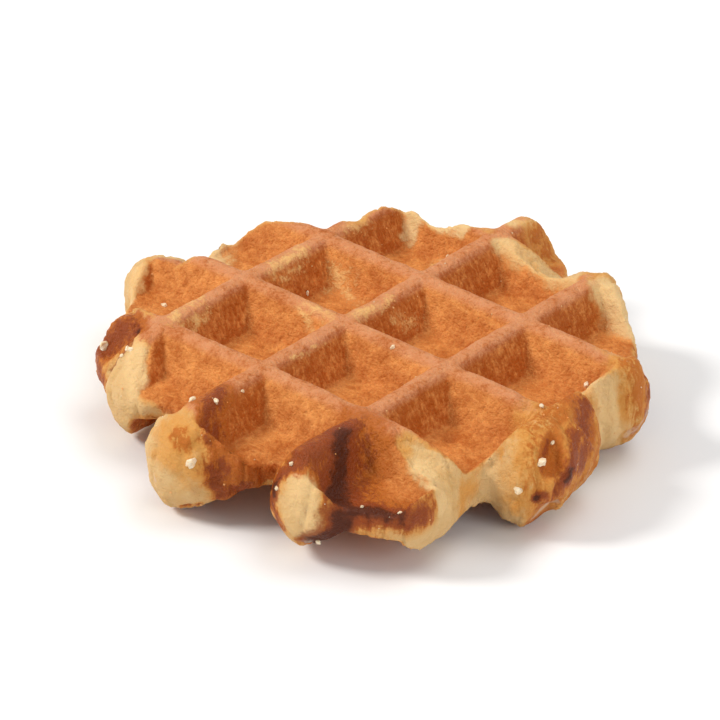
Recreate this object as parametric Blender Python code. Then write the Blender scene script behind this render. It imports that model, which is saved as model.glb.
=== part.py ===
"""A pearl-sugar waffle, baked between two irons and lying flat, as one solid.

The dough fills the gap between the irons, which leaves square pockets between
crossing ridges on both faces. It stops short of the irons' sides, so its edge
is a free, round bulge that reaches furthest along the ridges.

X runs along one set of ridges, Y along the other, Z up. The origin is under
the middle of the waffle, on the surface that it lies on.
"""

import math
from collections import Counter

import bmesh
import bpy
import numpy as np
from mathutils import Euler, Vector
from mathutils.bvhtree import BVHTree
from mathutils.geometry import delaunay_2d_cdt

MM = 0.001

# The irons
PITCH = 22.0 * MM
THICKNESS = 19.6 * MM
CREST_WIDTH = 3.0 * MM
WALL_RUN = 3.7 * MM
POCKET_DEPTH = 7.6 * MM

# The dough's free edge: how far in it is round, and how high it would rise
EDGE_REACH = 6.5 * MM
EDGE_RISE = THICKNESS / 2 + 1.4 * MM
FILLET = 1.4 * MM

# Places in the plan are counted in pitches from the ridge crossing at the near left.
# The body of the dough: how far it reaches along each direction
BODY_SIDES = (
    ((1, 0), 2.85),
    ((0, 1), 3.12),
    ((-1, 0), 0.80),
    ((0, -1), 0.54),
    ((1, 1), 5.38),
    ((-1, 1), 2.53),
    ((-1, -1), 0.36),
    ((1, -1), 3.09),
)

# Round lobes where the dough ran on along a ridge: place and radius
LOBES = {
    "near_right": (2.51, -0.27, 0.42),
    "right_low": (3.01, 0.78, 0.33),
    "right_mid": (2.89, 1.18, 0.38),
    "right_high": (2.69, 1.81, 0.36),
    "far_right": (2.87, 2.09, 0.27),
    "far_ridge": (1.89, 2.96, 0.35),
    "far_middle": (1.11, 3.17, 0.42),
    "far_left": (0.24, 2.65, 0.37),
    "left_high": (-0.44, 1.64, 0.36),
    "left_mid": (-0.78, 0.97, 0.34),
    "left_low": (-0.26, -0.14, 0.22),
    "near_left": (0.15, -0.25, 0.35),
    "near_ridge": (1.00, -0.82, 0.32),
    "near_ridge_root": (1.00, -0.40, 0.30),
    "near_middle": (1.25, -0.51, 0.38),
    "near_tip": (2.08, -0.58, 0.38),
    "near_tip_root": (2.00, -0.36, 0.32),
}
LOBE_BLEND = 0.16

# Where the dough didn't fill the upper iron: place, reach and drop
LOW_ABOVE = {
    "near_right_rim": (2.85, -0.05, 0.42, 4.6 * MM),
    "near_right_crest": (3.02, 0.35, 0.40, 3.0 * MM),
    "right_crest": (3.10, 1.50, 0.36, 3.1 * MM),
    "far_crest": (1.55, 3.05, 0.40, 5.0 * MM),
    "far_left_crest": (0.50, 3.02, 0.42, 0.8 * MM),
    "near_ridge_end": (0.95, -0.95, 0.34, 3.0 * MM),
    "near_left_end": (0.02, -0.50, 0.34, 3.1 * MM),
    "left_end": (-0.90, 1.00, 0.40, 4.3 * MM),
    "far_right_end": (2.60, 2.80, 0.40, 2.1 * MM),
    "near_tip_end": (2.00, -0.95, 0.34, 2.0 * MM),
    "right_end": (3.30, 0.90, 0.40, 2.0 * MM),
    "near_left_side": (0.25, -0.46, 0.29, 4.8 * MM),
    "near_right_wall": (2.50, -0.10, 0.24, 2.6 * MM),
    "far_right_wall": (2.80, 2.50, 0.34, 5.5 * MM),
    "left_high_side": (-0.78, 1.45, 0.34, 5.0 * MM),
    "far_right_crest": (2.62, 2.72, 0.26, 2.0 * MM),
}

# Where it filled the upper iron right up to its own edge: place, reach and extra rise
HIGH_ABOVE = {
    "front_floor": (1.62, -0.66, 0.30, 6.0 * MM),
    "tip_floor": (2.52, -0.70, 0.20, 4.0 * MM),
    "near_ridge_crest": (1.02, -0.62, 0.20, 2.0 * MM),
    "near_tip_crest": (2.06, -0.62, 0.20, 1.5 * MM),
}

# Where it didn't fill the lower iron
LOW_BELOW = {
    "near_left": (0.08, -0.50, 0.45, 2.0 * MM),
    "near_ridge": (0.95, -0.95, 0.45, 1.8 * MM),
    "near_tip": (2.00, -0.85, 0.45, 3.1 * MM),
    "near_right": (2.80, -0.30, 0.50, 3.5 * MM),
    "right_low": (3.30, 0.50, 0.50, 0.8 * MM),
    "right_mid": (3.30, 1.10, 0.40, 2.7 * MM),
    "right_high": (3.20, 1.90, 0.40, 3.9 * MM),
    "left_low": (-0.60, 0.00, 0.40, 2.0 * MM),
}

# The largest sugar crystals: place, height in pitches from the upper crests, and width
CRYSTALS = (
    (-0.40, -0.22, -0.30, 2.0 * MM),
    (-0.07, -0.33, -0.14, 1.3 * MM),
    (0.88, -0.72, -0.05, 1.5 * MM),
    (1.07, -0.60, -0.05, 1.4 * MM),
    (1.21, -1.04, -0.34, 2.0 * MM),
    (1.97, -0.83, -0.14, 1.3 * MM),
    (3.18, 0.67, -0.23, 1.9 * MM),
    (3.12, 0.47, -0.43, 1.5 * MM),
    (3.00, 1.08, -0.05, 1.3 * MM),
    (2.75, 1.82, -0.24, 1.3 * MM),
    (-0.53, 0.64, -0.35, 1.4 * MM),
    (0.67, 2.82, -0.30, 1.3 * MM),
    (2.35, 3.05, -0.50, 1.7 * MM),
    (0.90, 3.45, -0.45, 1.8 * MM),
    (-0.70, 1.90, -0.50, 1.6 * MM),
    (-1.02, 1.10, -0.45, 1.7 * MM),
)
CRYSTAL_SHOWING = 0.12
CRYSTAL_UNEVENNESS = 0.16
CRYSTAL_SEED = 5

# Mesh: how far apart its points lie, and the rings that make the edge round
OUTLINE_STEP = 1.75 * MM
RING_COUNT = 7
TRACE_START = (1.2, 1.2)
TRACE_DIRECTIONS = 1440
FIRST_RIDGE, LAST_RIDGE = -1, 3
LINE_ENDS = (-1.5, 4.0)
CRUST_COLOUR = (0.62, 0.30, 0.11, 1.0)


def soft_min(a, b, blend):
    """The smaller of a and b, rounded over where they're closer than blend."""
    share = np.clip(0.5 + 0.5 * (b - a) / blend, 0.0, 1.0)
    return b + (a - b) * share - blend * share * (1.0 - share)


def soft_max(a, b, blend):
    """The larger of a and b, rounded over where they're closer than blend."""
    return -soft_min(-a, -b, blend)


def ridge_share(coordinate):
    """1 on the crest of the nearest ridge of one set, 0 from its foot on."""
    from_ridge = np.abs(coordinate - np.round(coordinate / PITCH) * PITCH)
    fall = (from_ridge - CREST_WIDTH / 2) / WALL_RUN
    return 1.0 - np.clip(fall, 0.0, 1.0)


def iron_height(x, y):
    """How far above the waffle's middle plane the iron's face is."""
    ridge = np.maximum(ridge_share(x), ridge_share(y))
    return THICKNESS / 2 - POCKET_DEPTH * (1.0 - ridge)


def margin(x, y):
    """How far inside the outline a point is, negative outside."""
    sides = [
        (reach * PITCH - across * x - along * y) / math.hypot(across, along)
        for (across, along), reach in BODY_SIDES
    ]
    lobes = [
        radius * PITCH - np.hypot(x - u * PITCH, y - v * PITCH)
        for u, v, radius in LOBES.values()
    ]
    blend = LOBE_BLEND * PITCH
    inside = sides[0]
    for side in sides[1:]:
        inside = soft_min(inside, side, blend)
    for lobe in lobes:
        inside = soft_max(inside, lobe, blend)
    return inside


def swell(x, y, spots):
    """The sum of smooth round spots at a point, each a place, a reach and an amount."""
    total = np.zeros_like(x)
    for u, v, reach, amount in spots.values():
        away = np.hypot(x - u * PITCH, y - v * PITCH) / (reach * PITCH)
        total += amount * np.exp(-(away**2))
    return total


def free_height(x, y, inside, low_spots, high_spots):
    """How far from the middle plane the dough rises where no iron stops it."""
    rise = EDGE_RISE - swell(x, y, low_spots) + swell(x, y, high_spots)
    short_of_round = 1.0 - np.clip(inside / EDGE_REACH, 0.0, 1.0)
    return rise * np.sqrt(1.0 - short_of_round**2)


def face_height(x, y, low_spots, high_spots):
    """How far a face of the waffle is from its middle plane."""
    free = free_height(x, y, margin(x, y), low_spots, high_spots)
    iron = iron_height(x, y)
    blend = np.minimum(FILLET, 0.8 * np.minimum(free, iron) + 1e-9)
    return soft_min(iron, free, blend)


def contour(level):
    """Evenly spaced points on the closed line that lies level inside the outline."""
    turn = np.linspace(0.0, 2 * math.pi, TRACE_DIRECTIONS, endpoint=False)
    start = np.array(TRACE_START) * PITCH
    across, along = np.cos(turn), np.sin(turn)
    near, far = np.zeros_like(turn), np.full_like(turn, 4.0 * PITCH)
    for _ in range(40):
        half = (near + far) / 2
        within = margin(start[0] + across * half, start[1] + along * half) > level
        near, far = np.where(within, half, near), np.where(within, far, half)
    line = np.stack([start[0] + across * near, start[1] + along * near], axis=1)
    loop = np.vstack([line, line[:1]])
    run = np.concatenate([[0.0], np.cumsum(np.hypot(*np.diff(loop, axis=0).T))])
    count = round(run[-1] / OUTLINE_STEP)
    places = np.linspace(0.0, run[-1], count, endpoint=False)
    return np.stack([np.interp(places, run, loop[:, axis]) for axis in (0, 1)], axis=1)


def crest_and_foot_lines():
    """Straight lines over the whole plan at each ridge's middle, crest edges and feet."""
    crest, foot = CREST_WIDTH / 2, CREST_WIDTH / 2 + WALL_RUN
    first, last = LINE_ENDS[0] * PITCH, LINE_ENDS[1] * PITCH
    lines = []
    for ridge in range(FIRST_RIDGE, LAST_RIDGE + 1):
        for offset in (-foot, -(crest + foot) / 2, -crest, 0.0, crest, (crest + foot) / 2, foot):
            at = ridge * PITCH + offset
            lines += [((at, first), (at, last)), ((first, at), (last, at))]
    return lines


def pocket_corner_lines():
    """The sloping line in each corner of each pocket, from crest to foot."""
    crest, foot = CREST_WIDTH / 2, CREST_WIDTH / 2 + WALL_RUN
    lines = []
    for u in range(FIRST_RIDGE, LAST_RIDGE + 1):
        for v in range(FIRST_RIDGE, LAST_RIDGE + 1):
            for right, far in ((1, 1), (1, -1), (-1, 1), (-1, -1)):
                top = (u * PITCH + right * crest, v * PITCH + far * crest)
                bottom = (u * PITCH + right * foot, v * PITCH + far * foot)
                lines.append((top, bottom))
    return lines


def plan_of_waffle():
    """Points and triangles of the waffle seen from above, and which points are on its outline."""
    lean = np.linspace(0.0, math.pi / 2, RING_COUNT)
    rings = [contour(inset) for inset in EDGE_REACH * (1.0 - np.cos(lean))]
    points, edges = [], []
    for ring in rings:
        first, count = len(points), len(ring)
        points += [Vector(p) for p in ring]
        edges += [(first + i, first + (i + 1) % count) for i in range(count)]
    for start, end in crest_and_foot_lines() + pocket_corner_lines():
        edges.append((len(points), len(points) + 1))
        points += [Vector(start), Vector(end)]
    outline = [list(range(len(rings[0])))]
    plan, _, triangles, _, _, within = delaunay_2d_cdt(points, edges, outline, 0, 1e-6)
    triangles = [triangle for triangle, outlines in zip(triangles, within) if outlines]
    used = Counter(frozenset(pair) for a, b, c in triangles for pair in ((a, b), (b, c), (c, a)))
    on_outline = {i for pair, count in used.items() if count == 1 for i in pair}
    return plan, triangles, on_outline


def waffle_mesh():
    """Both faces over the same plan, joined along the outline, and how far it was centred."""
    plan, triangles, on_outline = plan_of_waffle()
    x, y = np.array([tuple(p) for p in plan]).T
    middle = THICKNESS / 2
    upper = middle + face_height(x, y, LOW_ABOVE, HIGH_ABOVE)
    lower = middle - face_height(x, y, LOW_BELOW, {})
    rim = sorted(on_outline)
    shift_x = (x[rim].min() + x[rim].max()) / 2
    shift_y = (y[rim].min() + y[rim].max()) / 2

    bm = bmesh.new()
    points_above, points_below = {}, {}
    for i in sorted({i for triangle in triangles for i in triangle}):
        place = (x[i] - shift_x, y[i] - shift_y)
        if i in on_outline:
            points_above[i] = points_below[i] = bm.verts.new((*place, middle))
        else:
            points_above[i] = bm.verts.new((*place, upper[i]))
            points_below[i] = bm.verts.new((*place, lower[i]))
    for a, b, c in triangles:
        bm.faces.new((points_above[a], points_above[b], points_above[c]))
        bm.faces.new((points_below[c], points_below[b], points_below[a]))
    bmesh.ops.recalc_face_normals(bm, faces=bm.faces)
    mesh = bpy.data.meshes.new("waffle")
    bm.to_mesh(mesh)
    bm.free()
    return mesh, (shift_x, shift_y)


def crystal_mesh(draw, width):
    """A rough nugget of sugar around its own middle."""
    bm = bmesh.new()
    bmesh.ops.create_icosphere(bm, subdivisions=1, radius=width / 2)
    for corner in bm.verts:
        corner.co *= 1.0 + draw.uniform(-CRYSTAL_UNEVENNESS, CRYSTAL_UNEVENNESS)
    turn = Euler(tuple(draw.uniform(0.0, math.tau, 3)))
    bmesh.ops.rotate(bm, verts=bm.verts, matrix=turn.to_matrix())
    mesh = bpy.data.meshes.new("crystal")
    bm.to_mesh(mesh)
    bm.free()
    return mesh


def add_crystals(waffle, shift):
    """Fuses the crystals to the waffle, each most of the way sunk into its crust."""
    bm = bmesh.new()
    bm.from_mesh(waffle.data)
    crust = BVHTree.FromBMesh(bm)
    bm.free()
    draw = np.random.default_rng(CRYSTAL_SEED)
    crystals = bpy.data.collections.new("crystals")
    bpy.context.scene.collection.children.link(crystals)
    for u, v, height, width in CRYSTALS:
        aim = Vector((u * PITCH - shift[0], v * PITCH - shift[1], THICKNESS + height * PITCH))
        touch, outwards, _, _ = crust.find_nearest(aim)
        crystal = bpy.data.objects.new("crystal", crystal_mesh(draw, width))
        crystal.location = touch + outwards * width * CRYSTAL_SHOWING
        crystals.objects.link(crystal)
    union = waffle.modifiers.new("crystals", "BOOLEAN")
    union.operation = "UNION"
    union.solver = "EXACT"
    union.operand_type = "COLLECTION"
    union.collection = crystals
    depsgraph = bpy.context.evaluated_depsgraph_get()
    fused = bpy.data.meshes.new_from_object(waffle.evaluated_get(depsgraph), depsgraph=depsgraph)
    waffle.modifiers.clear()
    waffle.data = fused
    for crystal in list(crystals.objects):
        bpy.data.objects.remove(crystal, do_unlink=True)
    bpy.data.collections.remove(crystals)


def crust_material():
    material = bpy.data.materials.new("crust")
    material.use_nodes = True
    shader = material.node_tree.nodes["Principled BSDF"]
    shader.inputs["Base Color"].default_value = CRUST_COLOUR
    shader.inputs["Roughness"].default_value = 0.6
    shader.inputs["Metallic"].default_value = 0.0
    return material


def main():
    for stale in list(bpy.data.objects):
        bpy.data.objects.remove(stale, do_unlink=True)
    mesh, shift = waffle_mesh()
    mesh.materials.append(crust_material())
    waffle = bpy.data.objects.new("waffle", mesh)
    bpy.context.scene.collection.objects.link(waffle)
    add_crystals(waffle, shift)
    waffle.data.shade_smooth()
    waffle.data.set_sharp_from_angle(angle=math.radians(40))


main()
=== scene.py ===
"""A pearl-sugar waffle, dressed: browned dough, sugar crystals and crumbs.

The body is one solid made by Geometry Nodes. The dough would be a free lump with
a round, lobed edge, and the two irons cut it off at their faces: where dough met
iron it is pressed and brown, and elsewhere it is free and pale. The tree works out
both shapes at every point and keeps what is inside both.
"""

import math
from types import SimpleNamespace

import bpy
from mathutils import Matrix, Vector


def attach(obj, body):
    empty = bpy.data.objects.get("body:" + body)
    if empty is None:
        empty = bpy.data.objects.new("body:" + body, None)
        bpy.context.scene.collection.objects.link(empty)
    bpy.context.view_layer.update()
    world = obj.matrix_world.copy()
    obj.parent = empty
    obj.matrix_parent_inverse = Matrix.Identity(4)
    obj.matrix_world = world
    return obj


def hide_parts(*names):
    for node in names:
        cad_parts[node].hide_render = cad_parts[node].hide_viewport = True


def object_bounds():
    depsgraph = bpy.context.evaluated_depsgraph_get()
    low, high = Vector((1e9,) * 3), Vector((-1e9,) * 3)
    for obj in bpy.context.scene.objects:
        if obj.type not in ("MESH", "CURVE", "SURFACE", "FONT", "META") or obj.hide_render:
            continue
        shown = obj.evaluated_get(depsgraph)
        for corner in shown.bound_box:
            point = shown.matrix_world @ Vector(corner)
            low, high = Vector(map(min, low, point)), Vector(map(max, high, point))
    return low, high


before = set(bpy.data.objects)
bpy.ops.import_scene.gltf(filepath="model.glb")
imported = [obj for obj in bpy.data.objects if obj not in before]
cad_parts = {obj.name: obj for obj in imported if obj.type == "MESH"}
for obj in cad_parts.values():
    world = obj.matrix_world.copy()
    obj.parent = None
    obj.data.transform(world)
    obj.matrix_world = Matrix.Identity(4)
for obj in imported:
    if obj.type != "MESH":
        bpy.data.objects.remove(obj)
cad_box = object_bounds()

MM = 0.001

# The irons
PITCH = 22.0 * MM
THICKNESS = 19.6 * MM
CREST_WIDTH = 3.0 * MM
WALL_RUN = 3.7 * MM
POCKET_DEPTH = 7.6 * MM

# How far the irons' corners are rounded, as shares of the wall's run, and the dough's
# rounding where it leaves the irons
CREST_BLEND = 0.45
FOOT_BLEND = 0.35
EDGE_BLEND = 1.1 * MM

# The dough's free edge: how far in it is round, and how high it would rise
EDGE_REACH = 6.5 * MM
EDGE_RISE = THICKNESS / 2 + 1.4 * MM

# Places in the plan are counted in pitches from the ridge crossing at the near left,
# and heights in pitches from the upper crests. This is where the frame's origin is.
MIDDLE = (1.1093, 1.2246)

# The body of the dough: how far it reaches along each direction
BODY_SIDES = (
    ((1, 0), 2.85),
    ((0, 1), 3.12),
    ((-1, 0), 0.80),
    ((0, -1), 0.54),
    ((1, 1), 5.38),
    ((-1, 1), 2.53),
    ((-1, -1), 0.36),
    ((1, -1), 3.09),
)

# Round lobes where the dough ran on along a ridge: place and radius
LOBES = {
    "near_right": (2.51, -0.27, 0.42),
    "right_low": (3.01, 0.78, 0.33),
    "right_mid": (2.89, 1.18, 0.38),
    "right_high": (2.69, 1.81, 0.36),
    "far_right": (2.87, 2.09, 0.27),
    "far_ridge": (1.89, 2.96, 0.35),
    "far_middle": (1.11, 3.17, 0.42),
    "far_left": (0.24, 2.65, 0.37),
    "left_high": (-0.44, 1.64, 0.36),
    "left_mid": (-0.78, 0.97, 0.34),
    "left_low": (-0.26, -0.14, 0.22),
    "near_left": (0.15, -0.25, 0.35),
    "near_ridge": (1.00, -0.82, 0.32),
    "near_ridge_root": (1.00, -0.40, 0.30),
    "near_middle": (1.25, -0.51, 0.38),
    "near_tip": (2.08, -0.58, 0.38),
    "near_tip_root": (2.00, -0.36, 0.32),
}
LOBE_BLEND = 0.24

# Where the dough didn't fill the upper iron: place, reach and drop
LOW_ABOVE = {
    "near_right_rim": (2.85, -0.05, 0.42, 4.6 * MM),
    "near_right_crest": (3.02, 0.35, 0.40, 3.0 * MM),
    "right_crest": (3.10, 1.50, 0.36, 3.1 * MM),
    "far_crest": (1.55, 3.05, 0.40, 5.0 * MM),
    "far_left_crest": (0.50, 3.02, 0.42, 0.8 * MM),
    "near_ridge_end": (0.95, -0.95, 0.34, 3.0 * MM),
    "near_left_end": (0.02, -0.50, 0.34, 3.1 * MM),
    "left_end": (-0.90, 1.00, 0.40, 4.3 * MM),
    "far_right_end": (2.60, 2.80, 0.40, 2.1 * MM),
    "near_tip_end": (2.00, -0.95, 0.34, 2.0 * MM),
    "right_end": (3.30, 0.90, 0.40, 2.0 * MM),
    "near_left_side": (0.25, -0.46, 0.29, 4.8 * MM),
    "near_right_wall": (2.50, -0.10, 0.24, 2.6 * MM),
    "far_right_wall": (2.80, 2.50, 0.34, 5.5 * MM),
    "left_high_side": (-0.78, 1.45, 0.34, 5.0 * MM),
    "far_right_crest": (2.62, 2.72, 0.26, 2.0 * MM),
}

# Where it filled the upper iron right up to its own edge: place, reach and extra rise
HIGH_ABOVE = {
    "front_floor": (1.62, -0.66, 0.30, 6.0 * MM),
    "tip_floor": (2.52, -0.70, 0.20, 4.0 * MM),
    "near_ridge_crest": (1.02, -0.62, 0.20, 2.0 * MM),
    "near_tip_crest": (2.06, -0.62, 0.20, 1.5 * MM),
}

# Where it didn't fill the lower iron
LOW_BELOW = {
    "near_left": (0.08, -0.50, 0.45, 2.0 * MM),
    "near_ridge": (0.95, -0.95, 0.45, 1.8 * MM),
    "near_tip": (2.00, -0.85, 0.45, 3.1 * MM),
    "near_right": (2.80, -0.30, 0.50, 3.5 * MM),
    "right_low": (3.30, 0.50, 0.50, 0.8 * MM),
    "right_mid": (3.30, 1.10, 0.40, 2.7 * MM),
    "right_high": (3.20, 1.90, 0.40, 3.9 * MM),
    "left_low": (-0.60, 0.00, 0.40, 2.0 * MM),
}

# Worn places on the crests, where the dough barely met the iron: place, reach, drop
WORN = {
    "near_left_crossing": (0.01, 0.38, 0.14, 0.8 * MM),
    "left_crest": (0.07, 1.43, 0.14, 0.9 * MM),
    "middle_crest": (1.06, 1.40, 0.10, 0.8 * MM),
    "far_left_crest": (0.10, 2.30, 0.16, 0.6 * MM),
    "right_crest": (2.40, 0.98, 0.18, 0.4 * MM),
}

# Finishes of the bake follow strokes: two ends, each a place and its height in pitches
# below the upper crests, and how far the finish reaches from the line between them.
# Burned sugar, nearly black
BURNED = {
    "tip_crest": ((2.08, -0.30, 0.00), (2.13, -0.46, -0.10), 0.10),
    "tip_flank_high": ((2.14, -0.44, -0.14), (2.24, -0.62, -0.32), 0.12),
    "tip_flank": ((2.24, -0.62, -0.32), (2.40, -0.77, -0.40), 0.13),
    "tip_foot": ((2.41, -0.77, -0.38), (2.43, -0.76, -0.50), 0.10),
    "tip_side_low": ((2.42, -0.78, -0.52), (2.24, -0.89, -0.65), 0.09),
    "front_line": ((2.46, -0.71, -0.37), (2.79, -0.52, -0.34), 0.075),
    "tip_left": ((1.90, -0.88, -0.26), (1.88, -0.90, -0.42), 0.05),
    "right_face": ((3.33, 0.86, -0.34), (3.33, 0.78, -0.38), 0.04),
    "right_face_low": ((3.28, 0.62, -0.46), (3.24, 0.55, -0.49), 0.035),
    "left_seam_high": ((-0.17, -0.11, -0.10), (-0.12, -0.28, -0.16), 0.03),
    "left_seam_low": ((-0.12, -0.28, -0.16), (-0.16, -0.43, -0.34), 0.03),
    "back_left": ((-0.95, 1.30, -0.40), (-0.90, 1.12, -0.55), 0.045),
    "back_right": ((2.45, 2.92, -0.40), (2.62, 2.75, -0.55), 0.04),
}

# Deep brown, glazed
BROWNED = {
    "left_lump": ((-0.28, -0.14, -0.14), (-0.41, -0.26, -0.36), 0.21),
    "left_lump_low": ((-0.34, -0.30, -0.42), (-0.30, -0.34, -0.52), 0.14),
    "left_crest_end": ((-0.16, -0.06, -0.04), (-0.04, -0.24, -0.04), 0.05),
    "tip": ((2.08, -0.42, -0.02), (2.30, -0.60, -0.30), 0.34),
    "tip_crest": ((2.05, -0.24, 0.00), (2.04, -0.76, -0.04), 0.27),
    "tip_crest_side": ((2.12, -0.34, -0.08), (2.20, -0.66, -0.18), 0.26),
    "tip_flank": ((2.16, -0.26, -0.16), (2.38, -0.62, -0.37), 0.26),
    "tip_left_side": ((2.00, -0.83, -0.07), (1.84, -0.86, -0.34), 0.12),
    "tip_left_low": ((1.84, -0.87, -0.36), (1.94, -0.93, -0.58), 0.10),
    "tip_left_back": ((1.80, -0.80, -0.30), (1.82, -0.84, -0.50), 0.10),
    "tip_side": ((2.42, -0.82, -0.38), (2.38, -0.82, -0.56), 0.13),
    "tip_side_low": ((2.38, -0.82, -0.56), (2.18, -0.88, -0.68), 0.11),
    "front_pocket_edge": ((2.50, -0.64, -0.38), (2.88, -0.42, -0.30), 0.18),
    "ridge_crest_end": ((1.02, -0.50, 0.00), (1.09, -0.71, -0.05), 0.14),
    "ridge_edge": ((1.09, -0.72, -0.05), (1.20, -0.88, -0.16), 0.10),
    "ridge_edge_low": ((1.20, -0.88, -0.16), (1.30, -0.94, -0.36), 0.085),
    "ridge_side_low": ((1.31, -0.94, -0.38), (1.37, -0.90, -0.56), 0.11),
    "ridge_wall": ((1.20, -0.72, -0.18), (1.36, -0.84, -0.36), 0.14),
    "ridge_under": ((1.37, -0.88, -0.60), (1.56, -0.76, -0.50), 0.12),
    "ridge_base": ((1.12, -0.99, -0.79), (1.24, -0.97, -0.77), 0.05),
    "front_floor_edge": ((1.50, -0.78, -0.48), (1.80, -0.62, -0.48), 0.08),
    "right_face_rim": ((3.06, 1.32, -0.10), (3.30, 1.04, -0.34), 0.16),
    "right_face_middle": ((3.20, 1.02, -0.16), (3.32, 0.84, -0.34), 0.12),
    "right_face_low": ((3.24, 0.64, -0.48), (3.33, 0.80, -0.36), 0.14),
    "right_face_edge": ((3.10, 0.78, -0.12), (3.18, 0.60, -0.34), 0.07),
    "far_right_rim": ((3.08, 2.26, -0.12), (3.16, 2.16, -0.50), 0.11),
    "back_left": ((-0.98, 1.20, -0.36), (-0.80, 0.78, -0.62), 0.18),
    "back": ((0.10, 3.00, -0.40), (0.50, 3.04, -0.55), 0.18),
    "back_right": ((2.40, 2.92, -0.36), (2.70, 2.66, -0.56), 0.17),
}

# Mid brown with golden streaks
TOASTED = {
    "right_face": ((3.13, 0.92, -0.12), (3.28, 0.72, -0.40), 0.32),
    "right_face_top": ((3.02, 1.26, -0.05), (3.12, 0.94, -0.10), 0.26),
    "right_face_far": ((3.16, 1.34, -0.20), (3.32, 1.05, -0.45), 0.30),
    "right_face_low": ((3.22, 0.60, -0.46), (3.30, 0.68, -0.54), 0.14),
    "far_right_band": ((3.02, 2.07, -0.06), (3.14, 2.08, -0.42), 0.17),
    "far_right_outer": ((3.06, 2.22, -0.14), (3.14, 2.14, -0.56), 0.22),
    "far_hollow": ((1.14, 3.38, -0.12), (1.24, 3.44, -0.26), 0.13),
    "ridge_end": ((1.06, -1.04, -0.17), (1.13, -1.04, -0.20), 0.08),
}

# Golden, where the free dough just began to colour
GOLDEN = {
    "ridge_end_top": ((0.98, -0.96, -0.10), (1.18, -0.98, -0.20), 0.20),
    "ridge_end": ((1.10, -1.06, -0.22), (1.22, -1.02, -0.38), 0.20),
    "ridge_end_left": ((1.02, -1.09, -0.23), (0.86, -1.01, -0.18), 0.13),
    "ridge_end_low": ((0.94, -1.11, -0.30), (1.08, -1.10, -0.36), 0.14),
    "near_left_top": ((-0.10, -0.28, -0.12), (0.06, -0.22, -0.08), 0.09),
    "right_face_edge": ((3.00, 0.66, -0.10), (3.14, 0.54, -0.28), 0.15),
    "right_face_foot": ((3.14, 0.54, -0.28), (3.14, 0.49, -0.50), 0.13),
    "near_right_rim": ((2.85, 0.22, -0.46), (2.84, 0.10, -0.54), 0.14),
    "near_right_fold": ((2.87, 0.56, -0.20), (2.84, 0.16, -0.40), 0.07),
    "near_right_crest": ((2.28, -0.02, -0.02), (2.86, -0.36, -0.26), 0.10),
    "tip_oval_side": ((2.32, -0.84, -0.20), (2.34, -0.86, -0.48), 0.10),
    "far_right": ((2.98, 1.98, -0.08), (3.08, 1.92, -0.36), 0.09),
    "far_wall": ((1.20, 2.92, -0.12), (1.80, 2.88, -0.18), 0.14),
    "right_wall": ((2.16, 2.74, -0.19), (2.41, 2.69, -0.35), 0.12),
    "far_lump": ((1.06, 3.30, -0.04), (1.26, 3.48, -0.30), 0.16),
    "left_lobe": ((-0.98, 0.94, -0.10), (-0.80, 0.62, -0.35), 0.10),
    "back_low": ((-0.60, 2.20, -0.40), (0.00, 2.86, -0.50), 0.20),
    "back_right_low": ((2.00, 3.06, -0.50), (2.60, 2.80, -0.60), 0.20),
}

# Browned as if pressed, although the iron stopped short
CRUSTED = {
    "ridge_wall_end": ((1.18, -0.74, -0.12), (1.42, -0.86, -0.34), 0.15),
    "ridge_wall_foot": ((1.40, -0.84, -0.24), (1.52, -0.76, -0.42), 0.14),
    "ridge_side_low": ((1.38, -0.88, -0.36), (1.46, -0.80, -0.54), 0.13),
    "front_floor_rim": ((1.40, -0.82, -0.38), (1.84, -0.60, -0.40), 0.15),
    "ridge_crest_end": ((1.00, -0.40, 0.00), (1.00, -0.70, -0.02), 0.10),
    "right_crest": ((2.50, 1.00, 0.00), (2.96, 1.02, -0.02), 0.15),
    "tip_crest_end": ((2.00, -0.40, 0.00), (2.00, -0.80, -0.06), 0.14),
    "left_crest_end": ((0.00, -0.10, 0.00), (0.03, -0.24, -0.04), 0.08),
    "left_crest_root": ((-0.24, -0.04, -0.03), (-0.04, -0.07, -0.02), 0.10),
    "left_lobe_rim": ((-0.78, 0.92, -0.06), (-0.58, 1.20, -0.04), 0.16),
    "left_pocket_wall": ((0.10, -0.14, -0.08), (0.36, -0.44, -0.35), 0.10),
    "left_pocket_rim": ((0.40, -0.46, -0.34), (0.66, -0.50, -0.34), 0.10),
}

# Left pale within the irons' reach
PALE = {
    "tip_oval": ((2.13, -0.88, -0.22), (2.20, -0.92, -0.52), 0.19),
    "near_left_wall": ((-0.02, -0.30, -0.10), (0.20, -0.54, -0.34), 0.13),
    "left_high_pocket": ((-0.78, 1.62, -0.24), (-0.72, 1.30, -0.36), 0.24),
    "left_low_pocket": ((-0.90, 0.74, -0.20), (-0.82, 0.50, -0.36), 0.13),
    "left_back_pocket": ((-0.42, 2.10, -0.20), (-0.20, 2.30, -0.34), 0.15),
    "far_left_wall": ((0.22, 2.90, -0.08), (0.26, 2.82, -0.26), 0.13),
    "far_left_crest": ((0.18, 2.94, -0.06), (0.70, 2.94, -0.08), 0.11),
    "far_wall": ((1.12, 2.92, -0.06), (1.84, 2.90, -0.14), 0.15),
    "far_right_pocket": ((2.14, 2.90, -0.08), (2.46, 2.84, -0.30), 0.20),
    "far_right_pocket_end": ((2.76, 2.62, -0.12), (2.84, 2.20, -0.36), 0.15),
    "near_right_rim": ((2.60, -0.09, -0.21), (2.90, -0.16, -0.36), 0.13),
    "far_lump": ((1.00, 3.22, -0.01), (1.10, 3.42, -0.05), 0.10),
    "far_right_lobe": ((2.98, 1.62, -0.12), (3.06, 1.78, -0.58), 0.22),
}

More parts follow.
